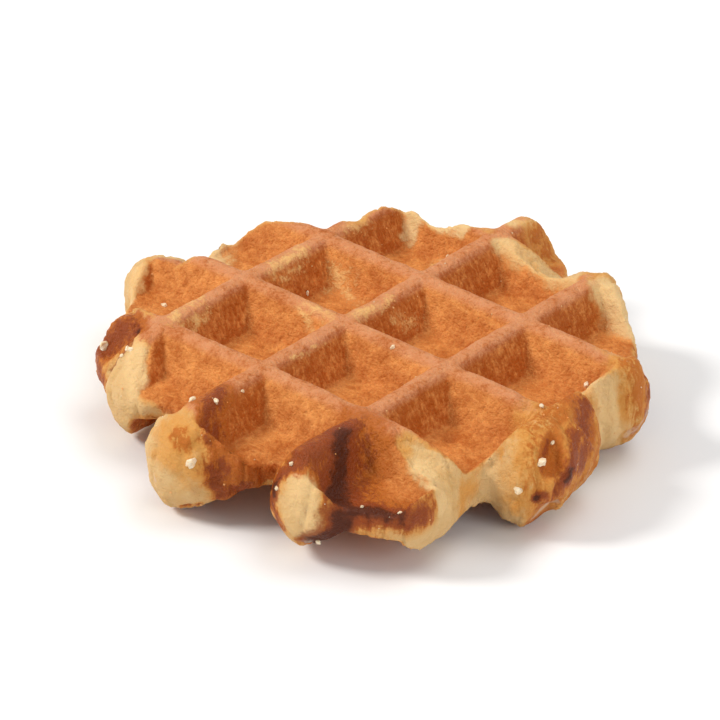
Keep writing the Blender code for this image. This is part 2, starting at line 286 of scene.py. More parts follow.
# Pressed faintly, so that the crust is lighter
FADED = {
    "crossing": ((0.02, 0.10, 0.00), (-0.04, 0.46, -0.01), 0.13),
    "crossing_side": ((0.12, 0.14, -0.05), (0.12, 0.40, -0.08), 0.10),
    "left_crest": ((0.07, 1.20, -0.01), (0.04, 1.68, -0.01), 0.12),
    "left_crest_side": ((0.14, 1.22, -0.08), (0.14, 1.50, -0.10), 0.08),
    "middle_crest": ((1.02, 1.12, 0.00), (1.06, 1.50, -0.02), 0.11),
    "middle_wall": ((1.16, 1.50, -0.16), (1.20, 1.66, -0.24), 0.11),
    "left_edge": ((0.58, 1.02, -0.02), (0.90, 0.93, -0.03), 0.09),
    "left_edge_wall": ((0.62, 0.94, -0.06), (0.86, 0.88, -0.16), 0.08),
    "back_wall": ((0.26, 1.82, -0.20), (0.50, 1.77, -0.34), 0.16),
    "far_crest": ((0.06, 2.20, 0.00), (0.10, 2.44, -0.02), 0.11),
    "middle_ridge": ((1.08, 0.24, -0.02), (1.10, 0.66, -0.05), 0.045),
    "far_back_wall": ((0.92, 2.30, -0.30), (0.60, 2.76, -0.34), 0.10),
}

# Where melted sugar dried to a white film, and a painted highlight along the near ridge's left
# edge
WHITE_FILMS_AND_HIGHLIGHT = {
    "right_edge": ((3.24, 0.80, -0.60), (3.12, 0.66, -0.72), 0.06),
    "far_right_edge": ((3.14, 2.20, -0.42), (3.08, 1.98, -0.62), 0.05),
    # A painted highlight along the ridge's left edge, not sugar
    "ridge_left_edge_highlight": ((0.82, -1.02, -0.30), (0.92, -1.12, -0.56), 0.025),
    "tip_low": ((2.22, -0.88, -0.66), (2.14, -0.88, -0.72), 0.045),
}

# Creases, pressed in where folds of dough met, and darkened in colour as painted shade: two ends,
# width, and depth
CREASES = {
    "left_seam_high": ((-0.17, -0.11, -0.10), (-0.12, -0.28, -0.16), 0.028, 0.5 * MM),
    "left_seam_low": ((-0.12, -0.28, -0.16), (-0.16, -0.43, -0.38), 0.028, 0.5 * MM),
    "ridge_base": ((1.12, -1.00, -0.77), (1.24, -0.98, -0.76), 0.030, 0.5 * MM),
    "pocket_hole": ((2.36, 0.585, -0.35), (2.38, 0.595, -0.35), 0.045, 1.2 * MM),
}

# Folds, wide and shallow, that only show by their shade
FOLDS = {
    "far_right": ((2.99, 1.70, -0.08), (3.06, 1.74, -0.60), 0.05, 0.6 * MM),
    "far_right_outer": ((3.02, 1.86, -0.08), (3.10, 1.86, -0.60), 0.04, 0.5 * MM),
    "far_right_first": ((2.96, 1.58, -0.20), (3.00, 1.60, -0.64), 0.04, 0.4 * MM),
    "near_right_high": ((2.89, 0.55, -0.20), (2.87, 0.47, -0.30), 0.045, 0.5 * MM),
    "near_right_low": ((2.87, 0.47, -0.30), (2.85, 0.16, -0.40), 0.045, 0.5 * MM),
    "near_right_end": ((2.96, 0.00, -0.44), (3.02, -0.10, -0.70), 0.06, 0.5 * MM),
    "ridge_end": ((1.12, -1.08, -0.46), (1.26, -1.02, -0.56), 0.05, 0.5 * MM),
    "near_left_end": ((0.00, -0.46, -0.40), (0.12, -0.56, -0.60), 0.06, 0.5 * MM),
    "ridge_crack": ((1.24, -0.99, -0.57), (1.36, -0.90, -0.47), 0.030, 0.9 * MM),
    "ridge_crack_low": ((1.22, -0.99, -0.62), (1.38, -0.90, -0.60), 0.028, 0.7 * MM),
    "left_hollow": ((0.42, -0.56, -0.52), (0.58, -0.58, -0.52), 0.09, 1.2 * MM),
}

# Blisters, golden as well as raised
BLISTERS = {
    "right_face": ((3.29, 0.63, -0.37), (3.28, 0.61, -0.41), 0.042, 0.6 * MM),
}

# Knobs of dough
KNOBS = {
    "near_right": ((3.10, 0.47, -0.38), (3.10, 0.47, -0.44), 0.08, 0.7 * MM),
    "near_right_low": ((3.05, 0.50, -0.62), (3.00, 0.44, -0.68), 0.10, 0.7 * MM),
    "right": ((2.95, 0.56, -0.18), (3.02, 0.50, -0.26), 0.09, 0.6 * MM),
    "ridge": ((1.22, -1.04, -0.60), (1.28, -0.99, -0.62), 0.05, 0.5 * MM),
    "ridge_low": ((1.32, -0.95, -0.64), (1.38, -0.90, -0.66), 0.05, 0.5 * MM),
    "near_right_rim": ((2.88, 0.02, -0.56), (2.92, 0.10, -0.60), 0.10, 0.6 * MM),
}

# What strokes paint on the surface, by the name of its attribute: finishes, whose edges
# wander, and marks, whose edges don't
FINISHES = {
    "burned": BURNED,
    "browned": BROWNED,
    "toasted": TOASTED,
    "golden": GOLDEN,
    "crusted": CRUSTED,
    "pale": PALE,
    "faded": FADED,
    "sugared": WHITE_FILMS_AND_HIGHLIGHT,
}
MARKS = {
    "creased": CREASES,
    "blistered": BLISTERS,
}

# Sugar crystals at listed places: place and height in pitches, and width
CRYSTALS = (
    (-0.40, -0.22, -0.30, 2.0 * MM),
    (-0.12, -0.30, -0.15, 1.2 * MM),
    (-0.10, -0.37, -0.20, 0.9 * MM),
    (-0.06, -0.33, -0.14, 1.1 * MM),
    (0.91, -0.73, -0.02, 1.5 * MM),
    (1.08, -0.62, -0.03, 1.4 * MM),
    (1.10, -0.34, -0.05, 0.9 * MM),
    (1.22, -1.07, -0.32, 2.0 * MM),
    (1.97, -0.84, -0.10, 1.3 * MM),
    (1.92, -0.91, -0.30, 1.1 * MM),
    (2.28, -0.86, -0.66, 1.1 * MM),
    (2.49, -0.63, -0.35, 0.9 * MM),
    (2.76, -0.52, -0.34, 0.9 * MM),
    (3.20, 0.63, -0.22, 1.8 * MM),
    (3.14, 0.82, -0.16, 0.9 * MM),
    (3.12, 0.46, -0.41, 1.4 * MM),
    (2.89, 1.01, -0.02, 1.2 * MM),
    (2.75, 1.82, -0.24, 1.1 * MM),
    (-0.53, 0.64, -0.35, 1.2 * MM),
    (1.53, 0.92, -0.02, 0.9 * MM),
    (0.21, 1.53, -0.30, 0.8 * MM),
    (0.67, 2.82, -0.30, 1.0 * MM),
    (2.35, 3.05, -0.50, 1.7 * MM),
    (0.90, 3.45, -0.45, 1.8 * MM),
    (-0.70, 1.90, -0.50, 1.6 * MM),
    (-1.02, 1.10, -0.45, 1.7 * MM),
)

# How far the edges of strokes wander, in pitches, and how wide their bends are
STROKE_WANDER = 0.16
STROKE_WANDER_WIDTH = 3.5 * MM

# Waves in the lines of the ridges, and places where the dough fell short of the iron on
# their crests: how wide they are, and how far they go
RIDGE_WAVER_WIDTH, RIDGE_WAVER = 13.0 * MM, 0.22 * MM
SHORTFALL_WIDTH, SHORTFALL = 8.0 * MM, 0.35 * MM

# Bumps of the dough and of its skin: how wide they are, and how high or deep
LUMP_WIDTH, LUMP_HEIGHT = 9.0 * MM, 0.50 * MM
STREAK_WIDTH, STREAK_HEIGHT = 1.7 * MM, 0.13 * MM
GRAIN_WIDTH, GRAIN_HEIGHT = 2.0 * MM, 0.09 * MM
KNOB_WIDTH, KNOB_HEIGHT = 3.4 * MM, 0.34 * MM
FOLD_WIDTH, FOLD_DEPTH = 6.5 * MM, 0.42 * MM

# Where on their patterns the places that fell short and the folds of the skin begin and
# are complete
SHORT_PLACES = (0.1, 1.1)
FOLD_LINES = (0.22, 0.0)

# How much of the height upright streaks follow, in the skin and in its colour: the less,
# the longer they are
SKIN_STREAKS = 0.3
COLOUR_STREAKS = 0.16

# How softly ridges cross, the depth under a sloping face as a share of the height to it,
# and how far the dough stays from the irons
CROSSING_BLEND = 0.18
DEPTH_SHARE = 0.7
IRON_CLEARANCE = 0.10 * MM

# Heights about the middle between which the upper face's rules give way to the lower's
UPPER_HALF = (-1.0 * MM, 1.0 * MM)

# How hard the iron pressed, as how far the dough would have passed it: where the skin is
# smooth, where it is browned, and where dough near the iron begins to colour
SMOOTH_SKIN = (-0.2 * MM, 0.6 * MM)
BROWNED_SKIN = (0.0, 0.7 * MM)
NEAR_IRON = (-1.6 * MM, 0.3 * MM)

# Well inside the outline the iron presses harder, and the edge of the browning is frayed
WELL_INSIDE = (3.0 * MM, 8.0 * MM)
EXTRA_PRESS = 0.8 * MM
FRAY_WIDTH, FRAY = 2.4 * MM, 0.3 * MM

# Where other parts of the surface begin and are complete: by the share of a ridge's height,
# by how far inside the outline they are, and by how far they face right
ON_CREST = (0.80, 0.98)
ON_FLOOR = (0.25, 0.0)
AT_RIM = (7.0 * MM, 1.0 * MM)
FACING_RIGHT = (0.3, 0.8)

# How far apart the patterns of two seeds are taken
SEED_SHIFT = 0.13

# Mesh of the body, and how many voxels away from the surface its values are kept
VOXEL = 0.57 * MM
KEPT_VOXELS = 4.0
BOX_SPARE = 3.0 * MM

# What clings to the dough: how uneven its lumps are, its seed, how many of them lie on a
# square metre where they are thickest, and how wide they are
CRYSTAL_VALUES = {"Unevenness": 0.42, "Seed": 11}
GRAIN_VALUES = {
    "Thickest": 26000.0,
    "Smallest": 0.15 * MM,
    "Largest": 0.45 * MM,
    "Unevenness": 0.35,
    "Seed": 12,
}
CRUMB_VALUES = {
    "Thickest": 22000.0,
    "Smallest": 0.18 * MM,
    "Largest": 0.50 * MM,
    "Unevenness": 0.40,
    "Seed": 13,
}

# A lump's dents and its sides, as shares of its width
LUMP_DENTS = 0.45
LUMP_SIDES = (0.55, 1.15)

# Colours, as linear light
CREAM_DOUGH = (0.80, 0.545, 0.255)
PALE_DOUGH = (0.65, 0.415, 0.182)
WARM_DOUGH = (0.58, 0.320, 0.100)
GOLDEN_DOUGH = (0.62, 0.275, 0.055)
LIGHT_CRUST = (0.82, 0.335, 0.088)
BROWN_CRUST = (0.40, 0.088, 0.006)
# The crests' colour: a darker crust with a painted pinkish sheen over it
CREST_BROWN_AND_SHEEN = (0.57, 0.235, 0.120)
PALE_FLECK = (0.80, 0.46, 0.165)
TOASTED_DOUGH = (0.46, 0.125, 0.012)
SIENNA_EDGE = (0.25, 0.046, 0.007)
DARK_CARAMEL = (0.075, 0.014, 0.003)
# Colour of the white sugar film, also used for a painted highlight
WHITE_FILM_AND_HIGHLIGHT = (0.62, 0.47, 0.36)
CLEAR_SUGAR = (0.80, 0.68, 0.50)
BROWNED_SUGAR = (0.70, 0.49, 0.27)
FLOOR_COLOUR = (0.86, 0.855, 0.85, 1.0)

# Patterns in the crust's colours: width of the bumps, seed, detail and roughness
PATTERNS = {
    "clouds": (7.0 * MM, 1.0, 2.0, 0.5),
    "blotches": (2.6 * MM, 7.0, 3.0, 0.6),
    "grain": (1.0 * MM, 2.0, 4.0, 0.65),
    "specks": (0.42 * MM, 3.0, 2.0, 0.6),
    "streaks": (0.75 * MM, 4.0, 3.0, 0.6),
}

# How much fine grain and blotches fray the edge of each finish
FRAYED = {
    "pale": (0.35, 0.30),
    "crusted": (0.35, 0.15),
    "golden": (0.30, 0.25),
    "faded": (1.50, 0.50),
    "burned": (0.45, 0.28),
    "creased": (0.30, 0.0),
    "sugared": (0.80, 0.0),
}

# Coats of colour: where each begins and is complete on the pattern that it follows, how
# much it covers, and its colour
COATS = {
    "warm": (-0.5, 1.6, 1.0, WARM_DOUGH),
    "brown": (-1.4, 1.6, 1.0, BROWN_CRUST),
    # The crests' coat is partly a darker crust and partly a painted pinkish sheen
    "crest_and_sheen": (1.6, -0.9, 0.75, CREST_BROWN_AND_SHEEN),
    "crest_scuffs": (0.0, 1.3, 0.70, BROWN_CRUST),
    "crest_flecks": (-0.3, -1.5, 0.35, PALE_FLECK),
    "faded": (0.20, 1.20, 0.85, PALE_FLECK),
    "flecks": (0.7, 1.7, 1.0, PALE_FLECK),
    "toasted_halo": (-0.50, 0.10, 0.80, GOLDEN_DOUGH),
    "toasted": (-0.15, 0.60, 0.90, TOASTED_DOUGH),
    "browned_edge": (-0.05, 0.45, 0.92, TOASTED_DOUGH),
    "browned": (0.20, 0.80, 0.92, SIENNA_EDGE),
    "burned_edge": (-0.75, 0.00, 0.85, SIENNA_EDGE),
    "burned": (0.00, 0.70, 0.95, DARK_CARAMEL),
    # Creases and the small hole are darkened: painted shade
    "creased": (0.10, 0.70, 0.80, SIENNA_EDGE),
    "blistered": (0.0, 0.7, 0.6, GOLDEN_DOUGH),
    # The white film's coat also paints a highlight along the near ridge's left edge
    "sugared": (0.0, 0.8, 0.6, WHITE_FILM_AND_HIGHLIGHT),
}

# The camera, as in the photograph: where it stands, and the point at the picture's middle
CAMERA_PLACE = (0.3274, -0.4442, 0.3260)
CAMERA_AIM = (-0.0004, -0.0024, 0.0110)
CAMERA_ROLL = math.radians(3.7)
CAMERA_LENS = 184.0

# Soft lights, all aimed at the waffle: place, width, power and colour
LIGHTS = {
    "key": ((-0.65, -0.65, 0.80), 0.35, 10.6, (1.0, 0.98, 0.95)),
    "side": ((0.9, -0.1, 0.5), 0.5, 2.4, (1.0, 1.0, 1.0)),
    "top": ((0.15, 0.35, 0.9), 0.7, 3.0, (0.97, 0.98, 1.0)),
}
WORLD_STRENGTH = 0.55
FLOOR_REACH = 3.0


class Field:
    """A number at every point of a geometry or a surface, worked out by math nodes."""

    def __init__(self, tree, socket):
        self.tree = tree
        self.socket = socket

    def math(self, operation, *others, clamp=False):
        inputs = dict(enumerate((self, *others)))
        node = new_node(self.tree, "ShaderNodeMath", inputs, operation=operation, use_clamp=clamp)
        return Field(self.tree, node.outputs[0])

    def __add__(self, other):
        return self.math("ADD", other)

    def __sub__(self, other):
        return self.math("SUBTRACT", other)

    def __mul__(self, other):
        return self.math("MULTIPLY", other)

    def __truediv__(self, other):
        return self.math("DIVIDE", other)

    def __neg__(self):
        return self.math("MULTIPLY", -1.0)

    def __abs__(self):
        return self.math("ABSOLUTE")

    def squared(self):
        return self.math("MULTIPLY", self)

    def flipped(self):
        """1 minus this."""
        return self.math("MULTIPLY_ADD", -1.0, 1.0)

    def halfway(self):
        """1 where this is a half, 0 where it is 0 or 1."""
        return self * self.flipped() * 4.0


def connect(tree, term, place):
    """Gives a node's input a plain value, or the socket of a field or a node."""
    if isinstance(term, Field):
        tree.links.new(term.socket, place)
    elif isinstance(term, bpy.types.NodeSocket):
        tree.links.new(term, place)
    else:
        place.default_value = term


def fill_inputs(tree, node, inputs):
    """Gives each named or numbered input of a node its value, field or socket."""
    for name, term in inputs.items():
        connect(tree, term, node.inputs[name])


def new_node(tree, kind, inputs, **settings):
    """A new node with these settings and inputs."""
    node = tree.nodes.new(kind)
    for name, value in settings.items():
        setattr(node, name, value)
    fill_inputs(tree, node, inputs)
    return node


def vector_math(tree, operation, *terms, scale=1.0):
    """The result of a sum on vectors: a number for two operations, otherwise a vector."""
    inputs = dict(enumerate(terms))
    if operation == "SCALE":
        inputs["Scale"] = scale
    node = new_node(tree, "ShaderNodeVectorMath", inputs, operation=operation)
    if operation in ("DOT_PRODUCT", "DISTANCE"):
        return Field(tree, node.outputs["Value"])
    return node.outputs["Vector"]


def joined(tree, *sides):
    """The vector with these three sides, each a field or a number."""
    return new_node(tree, "ShaderNodeCombineXYZ", dict(enumerate(sides))).outputs[0]


def sides_of(tree, vector):
    """The three sides of a vector."""
    node = new_node(tree, "ShaderNodeSeparateXYZ", {0: vector})
    return [Field(tree, side) for side in node.outputs]


def position(tree):
    """The place of each point."""
    return tree.nodes.new("GeometryNodeInputPosition").outputs[0]


def facing(tree):
    """The direction in which the surface faces."""
    return tree.nodes.new("GeometryNodeInputNormal").outputs[0]


def upright(tree, place, share):
    """The place as a pattern of upright streaks reads it, with a share of its height."""
    return vector_math(tree, "MULTIPLY", place, (1.0, 1.0, share))


def smaller(a, b, blend):
    """The smaller of two fields, rounded over where they're closer than blend."""
    return a.math("SMOOTH_MIN", b, blend)


def larger(a, b, blend):
    """The larger of two fields, rounded over where they're closer than blend."""
    return a.math("SMOOTH_MAX", b, blend)


def ramp(field, start, end):
    """0 up to start, 1 from end on, and smooth between."""
    inputs = {"Value": field, "From Min": start, "From Max": end}
    node = new_node(field.tree, "ShaderNodeMapRange", inputs, interpolation_type="SMOOTHSTEP")
    return Field(field.tree, node.outputs["Result"])


def noise_node(tree, place, width, seed, detail, roughness):
    """A noise whose bumps are about this wide, moved as far as its seed says."""
    shift = seed * SEED_SHIFT
    if not isinstance(shift, Field):
        shift = (shift, shift, shift)
    inputs = {
        "Vector": vector_math(tree, "ADD", place, shift),
        "Scale": 1.0 / width,
        "Detail": detail,
        "Roughness": roughness,
    }
    return new_node(tree, "ShaderNodeTexNoise", inputs)


def noise(tree, place, width, seed, detail=2.0, roughness=0.5):
    """Smooth noise, mostly between -1 and 1."""
    node = noise_node(tree, place, width, seed, detail, roughness)
    return (Field(tree, node.outputs[0]) - 0.5) * 4.0


def new_tree(name, takes, gives):
    """A geometry tree with these named inputs and outputs, and the sockets at its ends."""
    tree = bpy.data.node_groups.new(name, "GeometryNodeTree")
    for in_out, sockets in (("INPUT", takes), ("OUTPUT", gives)):
        for label, kind in sockets.items():
            tree.interface.new_socket(label, in_out=in_out, socket_type="NodeSocket" + kind)
    given = tree.nodes.new("NodeGroupInput").outputs
    made = tree.nodes.new("NodeGroupOutput").inputs
    return tree, given, made


def growing_tree(name, values):
    """A tree that makes a geometry, with a named input for each of these values."""
    kinds = {float: "Float", int: "Int", Vector: "Vector", bpy.types.Object: "Object"}
    takes = {label: kinds[type(value)] for label, value in values.items()}
    return new_tree(name, {"Geometry": "Geometry", **takes}, {"Geometry": "Geometry"})


def grown(name, tree, values, start=None):
    """The plain mesh object that a tree makes from these values of its named inputs."""
    grower = bpy.data.objects.new(name + "_grower", start or bpy.data.meshes.new(name))
    bpy.context.scene.collection.objects.link(grower)
    modifier = grower.modifiers.new("grow", "NODES")
    modifier.node_group = tree
    sockets = {s.name: s.identifier for s in tree.interface.items_tree if s.in_out == "INPUT"}
    for label, value in values.items():
        modifier[sockets[label]] = value
    depsgraph = bpy.context.evaluated_depsgraph_get()
    result = grower.evaluated_get(depsgraph)
    mesh = bpy.data.meshes.new_from_object(
        result,
        preserve_all_data_layers=True,
        depsgraph=depsgraph,
    )
    mesh.name = name
    grower.modifiers.clear()
    bpy.data.objects.remove(grower, do_unlink=True)
    piece = bpy.data.objects.new(name, mesh)
    bpy.context.scene.collection.objects.link(piece)
    return piece


def finish_tree(tree, geometry, material, made, smooth):
    """Ends a tree: instances made real, smooth or faceted shading, and the material."""
    real = new_node(tree, "GeometryNodeRealizeInstances", {"Geometry": geometry})
    inputs = {"Geometry": real.outputs[0], "Shade Smooth": smooth}
    shading = new_node(tree, "GeometryNodeSetShadeSmooth", inputs)
    inputs = {"Geometry": shading.outputs[0], "Material": material}
    coat = new_node(tree, "GeometryNodeSetMaterial", inputs)
    connect(tree, coat.outputs[0], made["Geometry"])


def ridge_share(across, size):
    """1 on the crest of the nearest ridge of one set, 0 from its foot on, rounded at both."""
    ridge = (across / size["Pitch"]).math("ROUND") * size["Pitch"]
    fall = (abs(across - ridge) - size["Crest Width"] * 0.5) / size["Wall Run"]
    foot_rounded = smaller(fall, 1.0, FOOT_BLEND)
    return larger(foot_rounded, 0.0, CREST_BLEND).math("MINIMUM", 1.0).flipped()


def distance(x, y, u, v, pitch):
    """How far a point of the plan is from a place counted in pitches."""
    return ((x - pitch * u).squared() + (y - pitch * v).squared()).math("SQRT")


def margin(x, y, pitch):
    """How far inside the outline a point of the plan is, negative outside."""
    blend = pitch * LOBE_BLEND
    inside = None
    for (across, along), reach in BODY_SIDES:
        length = math.hypot(across, along)
        side = (pitch * reach - x * across - y * along) / length
        inside = side if inside is None else smaller(inside, side, blend)
    for u, v, radius in LOBES.values():
        inside = larger(inside, pitch * radius - distance(x, y, u, v, pitch), blend)
    return inside


def stroke_tree(name, combined):
    """A tree for one stroke: combined gives its result from the share of its reach."""
    vectors = {label: "Vector" for label in ("Place", "Start", "End")}
    numbers = {label: "Float" for label in ("Reach", "Amount", "So Far")}
    tree, given, made = new_tree(name, {**vectors, **numbers}, {"Result": "Float"})
    run = vector_math(tree, "SUBTRACT", given["End"], given["Start"])
    from_start = vector_math(tree, "SUBTRACT", given["Place"], given["Start"])
    along = vector_math(tree, "DOT_PRODUCT", from_start, run)
    share = along.math("DIVIDE", vector_math(tree, "DOT_PRODUCT", run, run), clamp=True)
    foot = vector_math(tree, "SCALE", run, scale=share)
    reached = vector_math(tree, "DISTANCE", from_start, foot) / given["Reach"]
    result = combined(reached, Field(tree, given["Amount"]), Field(tree, given["So Far"]))
    connect(tree, result, made["Result"])
    return tree


def add_strokes(tree, group, place, strokes, start_value):
    """One node for each stroke, each taking the result of the one before."""
    result = start_value
    for start, end, reach, amount in strokes:
        inputs = {"Place": place, "Start": start, "End": end, "Reach": reach}
        inputs = {**inputs, "Amount": amount, "So Far": result}
        node = new_node(tree, "GeometryNodeGroup", inputs, node_tree=group)
        result = Field(tree, node.outputs["Result"])
    return result


def painted(tree, place, strokes):
    """How deep inside the nearest stroke a place is: 1 on its line, 0 at its reach."""

    def deepest(reached, amount, so_far):
        return (reached.flipped() * amount).math("MAXIMUM", so_far)

    group = bpy.data.node_groups.get("deepest_stroke") or stroke_tree("deepest_stroke", deepest)
    alike = [(start, end, reach, 1.0) for start, end, reach, *depth in strokes]
    return add_strokes(tree, group, place, alike, start_value=-1.0)


def raised(tree, place, strokes):
    """The sum of smooth ridges along strokes, each with its own reach and height."""

    def summed(reached, amount, so_far):
        return (-reached.squared()).math("EXPONENT") * amount + so_far

    group = bpy.data.node_groups.get("sum_of_strokes") or stroke_tree("sum_of_strokes", summed)
    return add_strokes(tree, group, place, strokes, start_value=0.0)


def swell(tree, plan, spots):
    """The sum of smooth round spots at a point of the plan."""
    strokes = [((u, v, 0.0), (u, v, 0.0), reach, amount) for u, v, reach, amount in spots.values()]
    return raised(tree, plan, strokes)


def waffle_body(crust):
    low, high = (Vector(corner) for corner in cad_box)
    spare = Vector((BOX_SPARE, BOX_SPARE, BOX_SPARE))
    values = {
        "Pitch": PITCH,
        "Thickness": THICKNESS,
        "Crest Width": CREST_WIDTH,
        "Wall Run": WALL_RUN,
        "Pocket Depth": POCKET_DEPTH,
        "Edge Reach": EDGE_REACH,
        "Edge Rise": EDGE_RISE,
        "Voxel": VOXEL,
        "Lowest": low - spare,
        "Highest": high + spare,
        "Seed": 3.0,
    }
    return grown("dough", waffle_tree(values, crust), values)


def waffle_tree(values, crust):
    tree, given, made = growing_tree("waffle_body", values)
    size = {socket.name: Field(tree, socket) for socket in given if socket.name}
    pitch, thickness, seed = size["Pitch"], size["Thickness"], size["Seed"]
    place = position(tree)
    x, y, height = sides_of(tree, place)
    x = x + pitch * MIDDLE[0]
    y = y + pitch * MIDDLE[1]
    level = height - thickness * 0.5
    pitches = joined(tree, x / pitch, y / pitch, (height - thickness) / pitch)

    iron, ridge = inside_irons(tree, place, x, y, level, size)
    inside = margin(x, y, pitch)
    free = inside_free_dough(tree, place, x, y, level, inside, size)
    body = dough_mesh(tree, size, smaller(free, iron, EDGE_BLEND))
    pressed = ramp(free - iron, *SMOOTH_SKIN)
    relief = skin_relief(tree, place, pitches, ridge, pressed, seed)
    body = roughened(tree, body, relief, thickness)

    press = free - iron + ramp(inside, *WELL_INSIDE) * EXTRA_PRESS
    press = press + noise(tree, place, FRAY_WIDTH, seed, detail=3.0) * FRAY
    qualities = {
        "pressed": ramp(press, *BROWNED_SKIN),
        "near_iron": ramp(press, *NEAR_IRON),
        "crest": ramp(ridge, *ON_CREST),
        "floor": ramp(ridge, *ON_FLOOR),
        "rim": ramp(inside, *AT_RIM),
        "faces_right": ramp(sides_of(tree, facing(tree))[0], *FACING_RIGHT),
    }
    warped = wandering(tree, place, pitches, seed)
    for name, strokes in FINISHES.items():
        qualities[name] = painted(tree, warped, strokes.values())
    for name, strokes in MARKS.items():
        qualities[name] = painted(tree, pitches, strokes.values())
    for name, value in qualities.items():
        inputs = {"Geometry": body, "Name": name, "Value": value}
        body = new_node(tree, "GeometryNodeStoreNamedAttribute", inputs).outputs["Geometry"]
    finish_tree(tree, body, crust, made, smooth=True)
    return tree


def wandering(tree, place, pitches, seed):
    """The place in pitches, shifted at random so that the edges of strokes wander."""
    shift = noise_node(tree, place, STROKE_WANDER_WIDTH, seed, detail=2.0, roughness=0.5)
    centred = vector_math(tree, "SUBTRACT", shift.outputs["Color"], (0.5, 0.5, 0.5))
    scaled = vector_math(tree, "SCALE", centred, scale=STROKE_WANDER)
    return vector_math(tree, "ADD", pitches, scaled)


def inside_irons(tree, place, x, y, level, size):
    """How far a point is inside both irons' faces, and how much of a ridge it is on."""
    waver_x = noise(tree, place, RIDGE_WAVER_WIDTH, seed=6.0, detail=1.0) * RIDGE_WAVER
    waver_y = noise(tree, place, RIDGE_WAVER_WIDTH, seed=7.0, detail=1.0) * RIDGE_WAVER
    along_x = ridge_share(x + waver_x, size)
    along_y = ridge_share(y + waver_y, size)
    ridge = larger(along_x, along_y, CROSSING_BLEND).math("MINIMUM", 1.0)
    waves = noise(tree, place, SHORTFALL_WIDTH, seed=5.0, detail=1.0)
    shortfall = ramp(waves, *SHORT_PLACES) * ridge * SHORTFALL
    height = size["Thickness"] * 0.5 - size["Pocket Depth"] * ridge.flipped() - shortfall
    return (height - abs(level)) * DEPTH_SHARE - IRON_CLEARANCE, ridge


def inside_free_dough(tree, place, x, y, level, inside, size):
    """How far a point is inside the dough as it would be with no irons."""
    plan = joined(tree, x / size["Pitch"], y / size["Pitch"], 0.0)
    above = ramp(level, *UPPER_HALF)
    fuller_above = swell(tree, plan, HIGH_ABOVE) - swell(tree, plan, {**LOW_ABOVE, **WORN})
    rise = size["Edge Rise"] + fuller_above * above
    rise = rise - swell(tree, plan, LOW_BELOW) * above.flipped()
    short_of_round = (inside / size["Edge Reach"]).flipped().math("MAXIMUM", 0.0)
    roundness = (short_of_round.squared() + (level / rise).squared()).math("SQRT")
    lumps = noise(tree, place, LUMP_WIDTH, size["Seed"]) * LUMP_HEIGHT
    return roundness.flipped() * size["Edge Reach"] + lumps


def dough_mesh(tree, size, depth):
    """The closed surface where a depth field is zero, from values kept at voxels."""
    kept = (depth / size["Voxel"] + KEPT_VOXELS).math("MAXIMUM", 0.0)
    inputs = {
        "Density": kept.math("MINIMUM", 2 * KEPT_VOXELS),
        "Min": size["Lowest"],
        "Max": size["Highest"],
    }
    span = vector_math(tree, "SUBTRACT", size["Highest"], size["Lowest"])
    for axis, side in zip("XYZ", sides_of(tree, span)):
        inputs["Resolution " + axis] = side / size["Voxel"]
    volume = new_node(tree, "GeometryNodeVolumeCube", inputs)
    inputs = {"Volume": volume.outputs["Volume"], "Threshold": KEPT_VOXELS}
    return new_node(tree, "GeometryNodeVolumeToMesh", inputs).outputs["Mesh"]


def skin_relief(tree, place, pitches, ridge, pressed, seed):
    """How far the skin stands out: grain where it was pressed, knobs and folds elsewhere."""
    drawn_up = upright(tree, place, SKIN_STREAKS)
    streaks = noise(tree, drawn_up, STREAK_WIDTH, seed) * ridge.halfway() * STREAK_HEIGHT
    grain = noise(tree, place, GRAIN_WIDTH, seed + 1.0, detail=3.0, roughness=0.65) * GRAIN_HEIGHT
    knobs = noise(tree, place, KNOB_WIDTH, seed, detail=4.0, roughness=0.68) * KNOB_HEIGHT
    folds = abs(noise(tree, drawn_up, FOLD_WIDTH, seed + 5.0, detail=1.0))
    folds = ramp(folds, *FOLD_LINES) * FOLD_DEPTH
    knobs_by_hand = raised(tree, pitches, [*BLISTERS.values(), *KNOBS.values()])
    marks = knobs_by_hand - raised(tree, pitches, [*CREASES.values(), *FOLDS.values()])
    return (streaks + grain) * pressed + (knobs - folds) * pressed.flipped() + marks


def roughened(tree, body, relief, thickness):
    """The skin moved out by its relief, but never past the surfaces that the irons meet."""
    out = vector_math(tree, "SCALE", facing(tree), scale=relief)
    moved_out = vector_math(tree, "ADD", position(tree), out)
    above_table = vector_math(tree, "MAXIMUM", moved_out, (-1.0, -1.0, 0.0))
    kept = vector_math(tree, "MINIMUM", above_table, joined(tree, 1.0, 1.0, thickness))
    inputs = {"Geometry": body, "Position": kept}
    return new_node(tree, "GeometryNodeSetPosition", inputs).outputs["Geometry"]


def shader_of(name):
    """A new material, its tree and its shader node."""
    material = bpy.data.materials.new(name)
    material.use_nodes = True
    tree = material.node_tree
    return material, tree, tree.nodes["Principled BSDF"]


def object_place(tree):
    """The place on the piece, as its patterns read it."""
    return tree.nodes.new("ShaderNodeTexCoord").outputs["Object"]


def reading(tree, name):
    """A named attribute of the surface."""
    node = new_node(tree, "ShaderNodeAttribute", {}, attribute_name=name)
    return Field(tree, node.outputs["Fac"])


def mixed(tree, share, below, above):
    """A colour between two colours, each a colour or a socket."""
    below, above = (
        (*colour, 1.0) if isinstance(colour, tuple) else colour for colour in (below, above)
    )
    inputs = {"Factor": share, 6: below, 7: above}
    return new_node(tree, "ShaderNodeMix", inputs, data_type="RGBA").outputs[2]


def cover(pattern, coat):
    """How much a coat covers where its pattern is this strong."""
    start, end, share, colour = COATS[coat]
    return ramp(pattern, start, end) * share


